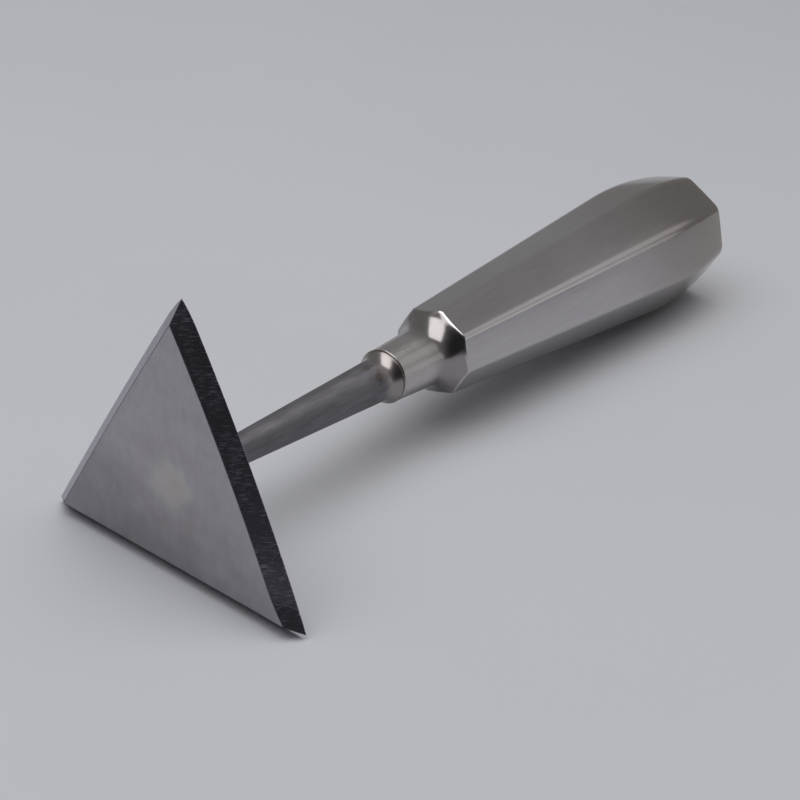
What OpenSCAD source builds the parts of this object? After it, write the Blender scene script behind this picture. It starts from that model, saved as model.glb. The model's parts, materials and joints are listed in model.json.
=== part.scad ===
// Triangular pull scraper.
// A bevelled steel plate is welded square on the end of a tapered round shank,
// and a hollow eight-sided steel handle is closed around the shank's tang.
// The tool lies as it rests on a bench: the blade's lower edge and the handle's
// lowest ridge touch Z = 0, the blade faces -Y and the handle points along +Y.

/* [Blade] */
// Side of the three-cornered plate, between the points where its edges would meet
blade_side = 46.2; // [38:0.1:70]
// Thickness of the plate
blade_thick = 2.2; // [1.4:0.1:3]
// Width of the ground bevel, measured across the plate
bevel_w = 1.95; // [0.6:0.05:3]
// Outward bow of the two upper cutting edges at their middle
edge_bow = 0.6; // [0.1:0.05:1.5]
// Length by which the three tips are worn back
tip_wear = 0.65; // [0.1:0.05:1.5]

/* [Shank] */
// Length from the back of the plate to the mouth of the handle
shank_len = 41.4; // [32:0.1:70]
// Diameter of the shank at the plate
shank_d_blade = 3.4; // [3:0.1:5]
// Diameter that the taper reaches under the crest of the bolster
shank_d_bolster = 6.5; // [5.6:0.1:7]
// Largest diameter of the rounded bolster
bolster_d = 8.2; // [7.9:0.05:9]
// Radius of the bolster's rounding
bolster_round = 2; // [1.6:0.1:2.4]
// Distance from the bolster's crest back to its seat on the handle
bolster_back = 1.1; // [0.8:0.05:1.3]
// Radius of the hollow where the taper runs up to the bolster
bolster_hollow = 0.8; // [0.3:0.1:1.5]

/* [Neck of the handle] */
// Outer diameter at the mouth
neck_d_mouth = 8; // [7.7:0.05:9]
// Outer diameter where the flare begins
neck_d_flare = 8.9; // [8.2:0.1:10]
// Length of the straight neck, from the mouth to the flare
neck_len = 7.6; // [4:0.1:14]
// Radius of the hollow flare between the neck and the flats
flare_r = 4.4; // [2.5:0.1:6]
// Chamfer round the mouth
mouth_chamfer = 0.25; // [0.1:0.05:0.4]

/* [Grip] */
// Width across the flats where the flare ends
grip_flats_front = 13.1; // [11.5:0.1:16]
// Length of the straight taper, from the end of the flare to the barrel
grip_len = 50.6; // [40:0.1:80]
// Width across the flats where the taper runs into the barrel
grip_flats_back = 20.6; // [18:0.1:28]
// Length of the barrelled end
barrel_len = 18.4; // [12:0.1:24]
// Radius to which the flats are barrelled
barrel_r = 68; // [50:1:120]
// Radius of the rounded edge at the end of the butt
butt_round = 1; // [0.6:0.1:2]
// Width of the rounded-over ridges where the flare ends
ridge_land_front = 0.5; // [0.2:0.05:1]
// Width of the rounded-over ridges where the barrel begins
ridge_land_back = 1.6; // [0.4:0.1:2.5]
// Turn of the ridges about the handle's axis, clockwise seen from the blade
handle_roll = 6.2; // [0:0.1:45]
// Thickness of the pressed sheet
wall = 1.1; // [0.7:0.05:1.6]

/* [Joints] */
// Diameter of the spigot that locates the shank in the plate
spigot_d = 2; // [1.2:0.1:2.6]
// Depth of the spigot in the plate
spigot_len = 0.8; // [0.4:0.05:1.2]
// Leg of the weld round the shank behind the plate
weld_leg = 0.9; // [0.4:0.1:2]
// Diameter of the tang inside the neck
tang_d = 5.8; // [4.6:0.1:6]
// Length of the tang behind the mouth
tang_len = 20; // [10:0.5:40]
// Chamfer on the end of the tang
tang_chamfer = 0.8; // [0.2:0.1:1.5]
// Width of the weld between the two halves of the handle
seam_w = 0.5; // [0.3:0.05:1]
// Depth of the braze below the outside of the mouth
braze_sink = 0.08; // [0.02:0.01:0.15]
// Clearance round the spigot and the tang
fit_gap = 0.05; // [0.02:0.01:0.1]

/* [Hidden] */
$fn = 96;

// Facets of the wide arcs that the cutting edges follow
edge_fn = 1800;
// Half the angle between neighbouring flats
half_facet = 22.5;
// More than the handle's half width, for cutting bodies
reach = grip_flats_back;
// How far a rounding's arc overlaps the sides that it touches
arc_tuck = 0.01;

// Plate: the upper edges are arcs through two corners, the lower edge is straight
edge_arc_r = blade_side * blade_side / (8 * edge_bow) + edge_bow / 2;
blade_reach = blade_side * tan(30) / 2;
arc_offset = edge_arc_r - blade_reach - edge_bow;
tip_reach = 2 * blade_reach - tip_wear;
front_corner = sqrt(pow(edge_arc_r - bevel_w, 2) - pow(arc_offset * cos(30), 2)) - arc_offset / 2;

// Places along the handle's axis, measured from the back of the plate
mouth_z = shank_len;
crest_z = mouth_z - bolster_back;
tang_z = mouth_z + tang_len;
flare_z = mouth_z + neck_len;
front_z = flare_z + flare_r;
barrel_z = front_z + grip_len;
butt_z = barrel_z + barrel_len;

// Bolster: a round bead, with a hollow fillet that runs into the taper and the bead
taper = (shank_d_bolster - shank_d_blade) / 2 / crest_z;
taper_angle = atan(taper);
bead_r = bolster_d / 2 - bolster_round;
hollow_arc = bolster_hollow + arc_tuck;
hollow_reach = bolster_round + bolster_hollow;
hollow_lift = shank_d_blade / 2 + bolster_hollow / cos(taper_angle) - bead_r;
hollow_a = 1 + taper * taper;
hollow_b = taper * hollow_lift - crest_z;
hollow_c = hollow_lift * hollow_lift + crest_z * crest_z - hollow_reach * hollow_reach;
hollow_z = (-hollow_b - sqrt(hollow_b * hollow_b - hollow_a * hollow_c)) / hollow_a;
hollow_centre = [bead_r + hollow_lift + taper * hollow_z, hollow_z];
hollow_foot = hollow_centre + hollow_arc * [-cos(taper_angle), sin(taper_angle)];

// Flare: a hollow arc that the neck's taper runs into
neck_angle = atan((neck_d_flare - neck_d_mouth) / 2 / neck_len);
flare_centre = [neck_d_flare / 2, flare_z] + flare_r * [cos(neck_angle), -sin(neck_angle)];

// Flats: half widths, first along the taper, then along the barrel
flat_slope = (grip_flats_back - grip_flats_front) / 2 / grip_len;
barrel_centre = [grip_flats_back / 2, barrel_z] + barrel_r * [-cos(atan(flat_slope)), sin(atan(flat_slope))];
function taper_at(z) = grip_flats_front / 2 + flat_slope * (z - front_z);
function barrel_at(z) = barrel_centre[0] + sqrt(pow(barrel_r, 2) - pow(z - barrel_centre[1], 2));
function flat_at(z) = z < barrel_z ? taper_at(z) : barrel_at(z);

// Ridges: the radius to which the corners between the flats are rounded over
crest_front = grip_flats_front / 2 / cos(half_facet) - ridge_land_front / 2 * tan(half_facet);
crest_back = grip_flats_back / 2 / cos(half_facet) - ridge_land_back / 2 * tan(half_facet);
crest_slope = (crest_back - crest_front) / grip_len;
crest_r = barrel_r * cos(half_facet);
crest_centre = [crest_back, barrel_z] + crest_r * [-cos(atan(crest_slope)), sin(atan(crest_slope))];
function crest_at(z) = z < barrel_z
    ? crest_front + crest_slope * (z - front_z)
    : crest_centre[0] + sqrt(pow(crest_r, 2) - pow(z - crest_centre[1], 2));

// The barrel is pressed in short straight steps, and so is the rounded edge of the butt
barrel_steps = 6;
rim_steps = 4;
rim_z = butt_z - butt_round;
rim_x = barrel_centre[0] + sqrt(pow(barrel_r - butt_round, 2) - pow(rim_z - barrel_centre[1], 2));
rim_start = atan2(rim_z - barrel_centre[1], rim_x - barrel_centre[0]);
rim_touch = rim_z + butt_round * sin(rim_start);
barrel_places = [for (i = [0 : barrel_steps]) barrel_z + i / barrel_steps * (rim_touch - barrel_z)];
rim_turns = [for (i = [1 : rim_steps]) rim_start + i / rim_steps * (90 - rim_start)];
inside_places = concat([flare_z], [for (z = barrel_places) min(z, butt_z - wall)]);

// Rest on the bench: the lower edge and the lowest ridge share one level
ridge_turn = abs((handle_roll + half_facet) % (2 * half_facet) - half_facet);
function land_half_angle(z) = half_facet - acos(flat_at(z) / crest_at(z));
function depth_at(z) = crest_at(z) * cos(max(0, ridge_turn - land_half_angle(z)));
lean = min([for (z = barrel_places) atan((blade_reach - depth_at(z)) / z)]);
box_front = -blade_thick * cos(lean) - max((blade_reach - bevel_w) * sin(lean), -front_corner * sin(lean));
box_back = butt_z * cos(lean) + rim_x / cos(half_facet) * cos(ridge_turn) * sin(abs(lean));
box_middle = (box_front + box_back) / 2;

// From the working frame (X right, Y down, Z from the plate to the butt) to the bench
module lay_down() {
    translate([0, -box_middle, blade_reach * cos(lean)])
        rotate([-90 - lean, 0, 0])
            children();
}

// One bowed and bevelled edge of the plate, facing the given direction
module bowed_edge(direction) {
    rotate(direction)
        translate([-arc_offset, 0, -blade_thick])
            cylinder(r1 = edge_arc_r - bevel_w, r2 = edge_arc_r, h = blade_thick, $fn = edge_fn);
}

// The straight lower edge, with the same bevel
module lower_edge() {
    rotate([90, 0, 90])
        linear_extrude(2 * blade_side, center = true)
            polygon([
                [-blade_side, -blade_thick],
                [blade_reach - bevel_w, -blade_thick],
                [blade_reach, 0],
                [-blade_side, 0]
            ]);
}

// What the wear leaves of the three tips
module worn_tips() {
    translate([0, 0, -blade_thick])
        cylinder(r = tip_reach, h = blade_thick);
}

module blade() {
    color("#86878a")
        lay_down()
            difference() {
                intersection() {
                    lower_edge();
                    bowed_edge(210);
                    bowed_edge(330);
                    worn_tips();
                }
                translate([0, 0, -spigot_len - fit_gap])
                    cylinder(d = spigot_d + 2 * fit_gap, h = 2 * spigot_len);
            }
}

// Half section of the shank: spigot and taper, hollow fillet, bolster bead and tang
module shank_section() {
    polygon([
        [0, -spigot_len],
        [spigot_d / 2, -spigot_len],
        [spigot_d / 2, 0],
        [shank_d_blade / 2, 0],
        hollow_foot,
        [0, hollow_foot[1]]
    ]);
    difference() {
        polygon([
            [0, hollow_foot[1]],
            [hollow_centre[0], hollow_foot[1]],
            [bead_r, crest_z],
            [0, crest_z]
        ]);
        translate(hollow_centre)
            circle(hollow_arc);
    }
    intersection() {
        translate([bead_r, crest_z])
            circle(bolster_round);
        square([bolster_d, mouth_z]);
    }
    polygon([
        [0, crest_z],
        [tang_d / 2, crest_z],
        [tang_d / 2, tang_z - tang_chamfer],
        [tang_d / 2 - tang_chamfer, tang_z],
        [0, tang_z]
    ]);
}

module shank() {
    color("#77787a")
        lay_down()
            rotate_extrude()
                shank_section();
}

// Weld fillet that fills the corner between the taper and the plate
module blade_weld() {
    color("#6d6862")
        lay_down()
            rotate_extrude()
                polygon([
                    [shank_d_blade / 2, 0],
                    [shank_d_blade / 2 + weld_leg, 0],
                    [shank_d_blade / 2 + weld_leg * taper, weld_leg]
                ]);
}

// Half section of the neck's outside
module neck_section() {
    polygon([
        [0, mouth_z],
        [neck_d_mouth / 2 - mouth_chamfer, mouth_z],
        [neck_d_mouth / 2, mouth_z + mouth_chamfer],
        [neck_d_flare / 2, flare_z],
        [0, flare_z]
    ]);
}

// What the flare leaves free outside a section, drawn in by the given amount
module flare_room(inset) {
    translate(flare_centre) {
        circle(flare_r + inset);
        translate([0, -flare_r - inset])
            square([reach, 2 * (flare_r + inset)]);
    }
}

// Half section of the handle's outside: neck, flare and rounded-over ridges
module handle_section() {
    difference() {
        union() {
            neck_section();
            polygon(concat(
                [[0, flare_z], [crest_at(flare_z), flare_z]],
                [for (z = concat(barrel_places, [butt_z])) [crest_at(z), z]],
                [[0, butt_z]]
            ));
        }
        flare_room(arc_tuck);
    }
}

// Half section of the space inside the grip
module hollow_section() {
    difference() {
        polygon(concat(
            [[0, flare_z]],
            [for (z = inside_places) [crest_at(z) - wall, z]],
            [[0, butt_z - wall]]
        ));
        flare_room(wall);
    }
}

// Both sides of an outline that is even about the handle's axis
module even_outline(half) {
    other_half = [for (i = [len(half) - 1 : -1 : 0]) [-half[i][0], half[i][1]]];
    polygon(concat(half, other_half));
}

// Outline between two opposite flats: taper, barrel and the rounded edge of the butt
module flat_outline() {
    even_outline(concat(
        [[taper_at(flare_z), mouth_z], [taper_at(flare_z), flare_z]],
        [for (z = barrel_places) [flat_at(z), z]],
        [for (turn = rim_turns) [rim_x, rim_z] + butt_round * [cos(turn), sin(turn)]]
    ));
}

// Outline between the inner sides of two opposite flats
module inner_outline() {
    even_outline(concat(
        [[taper_at(flare_z) - wall, mouth_z]],
        [for (z = inside_places) [flat_at(z) - wall, z]]
    ));
}

// Body between two pairs of flats at right angles, from the outline between one pair
module four_flats() {
    intersection_for(turn = [0, 90])
        rotate([90, 0, turn])
            linear_extrude(2 * reach, center = true)
                children();
}

// Body between all eight flats
module eight_flats() {
    rotate(handle_roll + half_facet)
        intersection() {
            four_flats()
                children();
            rotate(2 * half_facet)
                four_flats()
                    children();
        }
}

// The closed shell of the handle, with the tang's bore through the neck
module handle_shell() {
    difference() {
        intersection() {
            rotate_extrude()
                handle_section();
            eight_flats()
                flat_outline();
        }
        intersection() {
            rotate_extrude()
                hollow_section();
            eight_flats()
                inner_outline();
        }
        translate([0, 0, mouth_z - fit_gap])
            cylinder(d = tang_d + 2 * fit_gap, h = neck_len + 2 * fit_gap);
    }
}

// The part of the shell on one side of the seam, which runs along two opposite ridges
module shell_half(side) {
    intersection() {
        handle_shell();
        rotate(handle_roll - 45 + side)
            translate([seam_w / 2, -reach, mouth_z])
                cube([reach, 2 * reach, butt_z - mouth_z]);
    }
}

module handle_half_right() {
    color("#8f9093")
        lay_down()
            shell_half(0);
}

module handle_half_left() {
    color("#8a8b8e")
        lay_down()
            shell_half(180);
}

// Weld that joins the halves, ground flush along both ridges and across the butt
module seam_weld() {
    color("#949598")
        lay_down()
            intersection() {
                handle_shell();
                rotate(handle_roll - 45)
                    translate([-seam_w / 2, -reach, mouth_z])
                        cube([seam_w, 2 * reach, butt_z - mouth_z]);
            }
}

// Ring of braze in the groove between the bolster and the mouth of the neck
module neck_braze() {
    color("#5b5650")
        lay_down()
            rotate_extrude()
                difference() {
                    translate([tang_d / 2, crest_z])
                        square([neck_d_mouth / 2 - braze_sink - tang_d / 2, bolster_back + mouth_chamfer]);
                    shank_section();
                    neck_section();
                }
}

blade();
blade_weld();
shank();
neck_braze();
handle_half_right();
handle_half_left();
seam_weld();
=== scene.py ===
import json
import math
import random

import bpy
from mathutils import Matrix, Vector


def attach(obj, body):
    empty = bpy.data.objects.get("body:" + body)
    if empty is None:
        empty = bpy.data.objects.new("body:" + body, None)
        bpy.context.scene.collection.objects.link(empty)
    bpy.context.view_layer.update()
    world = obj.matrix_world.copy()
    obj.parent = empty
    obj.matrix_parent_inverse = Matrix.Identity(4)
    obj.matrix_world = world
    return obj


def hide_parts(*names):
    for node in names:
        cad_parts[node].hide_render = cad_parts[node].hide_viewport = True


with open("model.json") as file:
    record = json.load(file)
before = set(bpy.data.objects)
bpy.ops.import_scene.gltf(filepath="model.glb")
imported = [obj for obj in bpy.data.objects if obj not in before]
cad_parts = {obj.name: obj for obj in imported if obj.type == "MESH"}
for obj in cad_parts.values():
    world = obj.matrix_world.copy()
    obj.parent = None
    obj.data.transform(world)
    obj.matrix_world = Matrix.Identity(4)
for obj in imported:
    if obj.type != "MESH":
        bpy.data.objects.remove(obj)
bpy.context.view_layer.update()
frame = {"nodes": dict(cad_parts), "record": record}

mm = 0.001
turn = 2 * math.pi
mergeGap = 0.0005  # points closer than this are one point, in millimetres
scene = bpy.context.scene
scene.view_settings.view_transform = "Standard"

# every piece is modelled in millimetres on the tool's own axes:
# X to the right, Y down, Z from the back of the plate to the butt
mounts = {m["name"]: m for m in frame["record"]["mounts"]}
plateThick = 2.2
faceSpot = Vector(mounts["blade_face"]["pos_m"])
alongTool = -Vector(mounts["blade_face"]["axis"]).normalized()
toolRight = Vector((1, 0, 0))
toolDown = alongTool.cross(toolRight)
toBench = Matrix((toolRight, toolDown, alongTool)).transposed().to_4x4()
toBench.translation = faceSpot + alongTool * plateThick * mm


def deselect():
    if bpy.context.object and bpy.context.object.mode != "OBJECT":
        bpy.ops.object.mode_set(mode="OBJECT")
    bpy.ops.object.select_all(action="DESELECT")


def makeActive(piece):
    deselect()
    piece.select_set(True)
    bpy.context.view_layer.objects.active = piece


def turnOutline(name, outline, steps):
    # draws a half outline from point to point, then spins it round the tool's axis
    deselect()
    bpy.ops.mesh.primitive_plane_add(size=1)
    piece = bpy.context.object
    piece.name = name
    bpy.ops.object.mode_set(mode="EDIT")
    bpy.ops.mesh.select_mode(type="VERT")
    bpy.ops.mesh.merge(type="CENTER")  # the plane becomes the first point
    bpy.ops.transform.translate(value=(outline[0][0], 0, outline[0][1]))
    for (r, z), (nextR, nextZ) in zip(outline, outline[1:]):
        step = (nextR - r, 0, nextZ - z)
        bpy.ops.mesh.extrude_region_move(TRANSFORM_OT_translate={"value": step})
    bpy.ops.mesh.select_all(action="SELECT")
    bpy.ops.mesh.spin(steps=steps, angle=turn, center=(0, 0, 0), axis=(0, 0, 1))
    closeMesh()
    return piece


def closeMesh():
    # merges what touches and turns all faces outwards
    bpy.ops.mesh.select_all(action="SELECT")
    bpy.ops.mesh.remove_doubles(threshold=mergeGap)
    bpy.ops.mesh.normals_make_consistent(inside=False)
    bpy.ops.object.mode_set(mode="OBJECT")


def pickFaces(piece, wanted):
    # leaves the piece in edit mode with only the wanted faces selected
    bpy.ops.object.mode_set(mode="EDIT")
    bpy.ops.mesh.select_mode(type="FACE")
    bpy.ops.mesh.select_all(action="DESELECT")
    bpy.ops.object.mode_set(mode="OBJECT")
    for f in piece.data.polygons:
        f.select = wanted(f)
    bpy.ops.object.mode_set(mode="EDIT")


def pickEdges(piece, wanted):
    bpy.ops.object.mode_set(mode="EDIT")
    bpy.ops.mesh.select_mode(type="EDGE")
    bpy.ops.mesh.select_all(action="DESELECT")
    bpy.ops.object.mode_set(mode="OBJECT")
    points = piece.data.vertices
    for e in piece.data.edges:
        e.select = wanted(points[e.vertices[0]].co, points[e.vertices[1]].co)
    bpy.ops.object.mode_set(mode="EDIT")


def arcPoints(centre, radius, start, end, count):
    # points on an arc in the half section, angles from the outward direction towards the butt
    points = []
    for i in range(count + 1):
        a = start + (end - start) * i / count
        points.append((centre[0] + radius * math.cos(a), centre[1] + radius * math.sin(a)))
    return points


def finishPiece(piece, nodes, materials, smoothAngle):
    piece.data.transform(toBench @ Matrix.Scale(mm, 4))
    makeActive(piece)
    bpy.ops.object.shade_smooth_by_angle(angle=math.radians(smoothAngle))
    for material in materials:
        piece.data.materials.append(material)
    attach(piece, "root")
    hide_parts(*nodes)


def linear(hexColour):
    # sRGB hex to the linear colour that a shader socket takes
    out = []
    for i in (1, 3, 5):
        c = int(hexColour[i:i + 2], 16) / 255
        out.append(c / 12.92 if c <= 0.04045 else ((c + 0.055) / 1.055) ** 2.4)
    return (*out, 1)


def perMetre(sizes):
    # texture scales from the sizes of one grain along each axis, in millimetres
    return [1 / (size * mm) for size in sizes]


def addNode(tree, kind, inputs, output=0, **settings):
    # adds a node with its settings and links, and gives back one of its outputs
    node = tree.nodes.new("ShaderNode" + kind)
    for key, value in settings.items():
        setattr(node, key, value)
    for key, value in inputs.items():
        if isinstance(value, bpy.types.NodeSocket):
            tree.links.new(value, node.inputs[key])
        else:
            node.inputs[key].default_value = value
    return node.outputs[output] if len(node.outputs) else None


# settings that many nodes share; a colour mix has its factor at 0, its colours at 6 and 7 and its result at 2
rgba = {"data_type": "RGBA"}
times = {"data_type": "RGBA", "blend_type": "MULTIPLY"}
smooth = {"interpolation_type": "SMOOTHSTEP"}
mostNoise = {"From Min": 0.3, "From Max": 0.7}  # nearly all of a noise lies between these


def newMaterial(name):
    material = bpy.data.materials.new(name)
    material.use_nodes = True
    material.node_tree.nodes.clear()
    return material, material.node_tree


# camera at the photograph's place: turned, tipped and rolled like the one that took it
cameraView = {"azimuth": 37.29, "elevation": 29.71, "roll": 3.89, "spot": (139.79, -198.1, 138.39),
              "lens": 81, "sensor": 36, "clipStart": 0.01}
cameraData = bpy.data.cameras.new("photoCamera")
cameraData.lens = cameraView["lens"]
cameraData.sensor_width = cameraView["sensor"]
cameraData.clip_start = cameraView["clipStart"]
camera = bpy.data.objects.new("photoCamera", cameraData)
scene.collection.objects.link(camera)
camera.matrix_world = (
    Matrix.Translation(Vector(cameraView["spot"]) * mm)
    @ Matrix.Rotation(math.radians(cameraView["azimuth"]), 4, "Z")
    @ Matrix.Rotation(math.radians(90 - cameraView["elevation"]), 4, "X")
    @ Matrix.Rotation(math.radians(cameraView["roll"]), 4, "Z")
)
scene.camera = camera
print("camera set")

# stage: a pale table top under one long soft lamp, in a grey room: dark on the camera's right,
# with two far windows behind the handle
stage = {"floorColours": ("#c9cad0", "#cecfd4"), "floorCloud": (60, 60, 60), "floorHalf": 3.0,
         "floorRoughness": 0.8, "floorSpecular": 0.2,
         "lampSpot": (-0.08, -0.18, 0.8), "lampSize": (1.22, 0.72), "lampTurn": 55, "lampPower": 5.5,
         "roomDark": 0.03, "roomGrey": 0.26, "roomAxis": (-0.707, 0.707, 0), "roomFrom": -0.9, "roomTo": -0.1,
         "windows": ({"towards": (0.81, 0.57, 0.1), "border": 0.93, "core": 0.99, "glow": 0.35},
                     {"towards": (0.45, 0.7, 0.55), "border": 0.94, "core": 0.99, "glow": 0.3}),
         "backdrop": "#b9babf", "fadeFrom": 0.36, "fadeTo": 0.85}


def mattTableTop():
    # painted board: matt, with a hardly visible unevenness of the paint
    material, tree = newMaterial("matt_painted_board")
    coords = addNode(tree, "TexCoord", {}, "Object")
    placed = addNode(tree, "Mapping", {"Vector": coords, "Scale": perMetre(stage["floorCloud"])})
    cloud = addNode(tree, "TexNoise", {"Vector": placed, "Scale": 1, "Detail": 3}, "Fac")
    dark, pale = map(linear, stage["floorColours"])
    paint = addNode(tree, "Mix", {0: cloud, 6: dark, 7: pale}, 2, **rgba)
    shader = addNode(tree, "BsdfPrincipled", {"Base Color": paint, "Roughness": stage["floorRoughness"],
                                              "Specular IOR Level": stage["floorSpecular"]})
    # seen from low down, the far floor runs into a pale backdrop; reflections keep the real floor
    away = addNode(tree, "VectorMath", {0: coords}, "Value", operation="LENGTH")
    far = addNode(tree, "MapRange", {"Value": away, "From Min": stage["fadeFrom"],
                                     "From Max": stage["fadeTo"]}, **smooth)
    seen = addNode(tree, "LightPath", {}, "Is Camera Ray")
    faded = addNode(tree, "Math", {0: far, 1: seen}, operation="MULTIPLY")
    backdrop = addNode(tree, "Emission", {"Color": linear(stage["backdrop"])})
    both = addNode(tree, "MixShader", {0: faded, 1: shader, 2: backdrop})
    addNode(tree, "OutputMaterial", {"Surface": both})
    return material


def makeStage():
    deselect()
    bpy.ops.mesh.primitive_plane_add(size=2 * stage["floorHalf"])
    floor = bpy.context.object
    floor.name = "floor"
    floor.data.materials.append(mattTableTop())

    lampData = bpy.data.lights.new("softbox", "AREA")
    lampData.shape = "RECTANGLE"
    lampData.size, lampData.size_y = stage["lampSize"]
    lampData.energy = stage["lampPower"]
    lamp = bpy.data.objects.new("softbox", lampData)
    scene.collection.objects.link(lamp)
    lamp.location = stage["lampSpot"]
    lamp.rotation_euler = (0, 0, math.radians(stage["lampTurn"]))  # hangs level and shines straight down

    world = bpy.data.worlds.new("room")
    world.use_nodes = True
    scene.world = world
    tree = world.node_tree
    tree.nodes.clear()
    direction = addNode(tree, "TexCoord", {}, "Generated")
    leftBack = addNode(tree, "VectorMath", {0: direction, 1: stage["roomAxis"]}, "Value",
                       operation="DOT_PRODUCT")
    grey = addNode(tree, "MapRange", {"Value": leftBack, "From Min": stage["roomFrom"],
                                      "From Max": stage["roomTo"], "To Min": stage["roomDark"],
                                      "To Max": stage["roomGrey"]}, **smooth)
    for window in stage["windows"]:
        facing = addNode(tree, "VectorMath", {0: direction, 1: window["towards"]}, "Value",
                         operation="DOT_PRODUCT")
        pane = addNode(tree, "MapRange", {"Value": facing, "From Min": window["border"],
                                          "From Max": window["core"], "To Max": window["glow"]}, **smooth)
        grey = addNode(tree, "Math", {0: grey, 1: pane}, operation="ADD")
    seen = addNode(tree, "LightPath", {}, "Is Camera Ray")
    shade = addNode(tree, "Mix", {0: seen, 6: grey, 7: linear(stage["backdrop"])}, 2, **rgba)
    walls = addNode(tree, "Background", {"Color": shade})
    addNode(tree, "OutputWorld", {"Surface": walls})


makeStage()
print("stage set")

# plate: a three-cornered blank, its two upper edges bowed, ground to a bevel from the front
plate = {"side": 46.2, "bevel": 1.95, "bowRight": 0.9, "bowLeft": 0.25, "edgeLand": 0.05, "cuts": 99,
         "frontSoft": 0.07, "topWear": 0.8, "rightWear": 0.81, "leftWear": 0.8, "faceShift": (0.75, 0.05, 0),
         "wearRun": 5, "nickDepth": 0.06, "nickShare": 0.05, "ragged": 0.008, "hole": 1.05, "holeDepth": 0.85,
         "holeSides": 64, "bevelTilt": 0.72, "burrTilt": 0.985, "offHole": 3, "smoothAngle": 10, "seed": 7}
faceSteel = {"colours": ("#98979b", "#adacb0"), "line": (0.18, 0.18, 6), "cloud": (9, 9, 7),
             "speck": (1.4, 1.4, 1.8), "hatch": (0.95, 1.03), "mottle": (0.93, 1.05), "roughness": (0.3, 0.4),
             "lineDepth": 0.01, "lineRelief": 0.15,
             "heatShift": (0.45, 0, 0.4), "patch": (4, 4, 5), "patchBorder": 2.5,
             "straw": "#c0bab0", "strawTint": 0.42, "strawFrom": 2.2, "strawTo": 3.8,
             "rose": "#a89a99", "roseTint": 0.22, "roseIn": (3.6, 5), "roseOut": (5.5, 9),
             # the last four entries set the painted shade, darker towards the lower edge and lighter towards
             # the top
             "paintedShadeUp": (0.3, 0, 1), "paintedShadeWander": 4, "paintedShadeReach": (1, 16), "paintedShade": (0.8, 1.13)}
bevelSteel = {"colours": ("#918e9b", "#a5a2b1"), "slant": -26, "furrow": (0.1, 1.8, 1), "stray": (0.1, 1.1, 1),
              "strayShift": (3, 5, 0), "place": (5, 2, 1), "fewer": (0.14, -0.04), "torn": (0.52, 0.62),
              "roughness": (0.24, 0.38), "depth": 0.02, "relief": 0.25}
burrSteel = {"colours": ("#4c4b50", "#7a797e"), "spot": (0.7, 0.7, 0.7), "roughness": (0.4, 0.55)}


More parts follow.
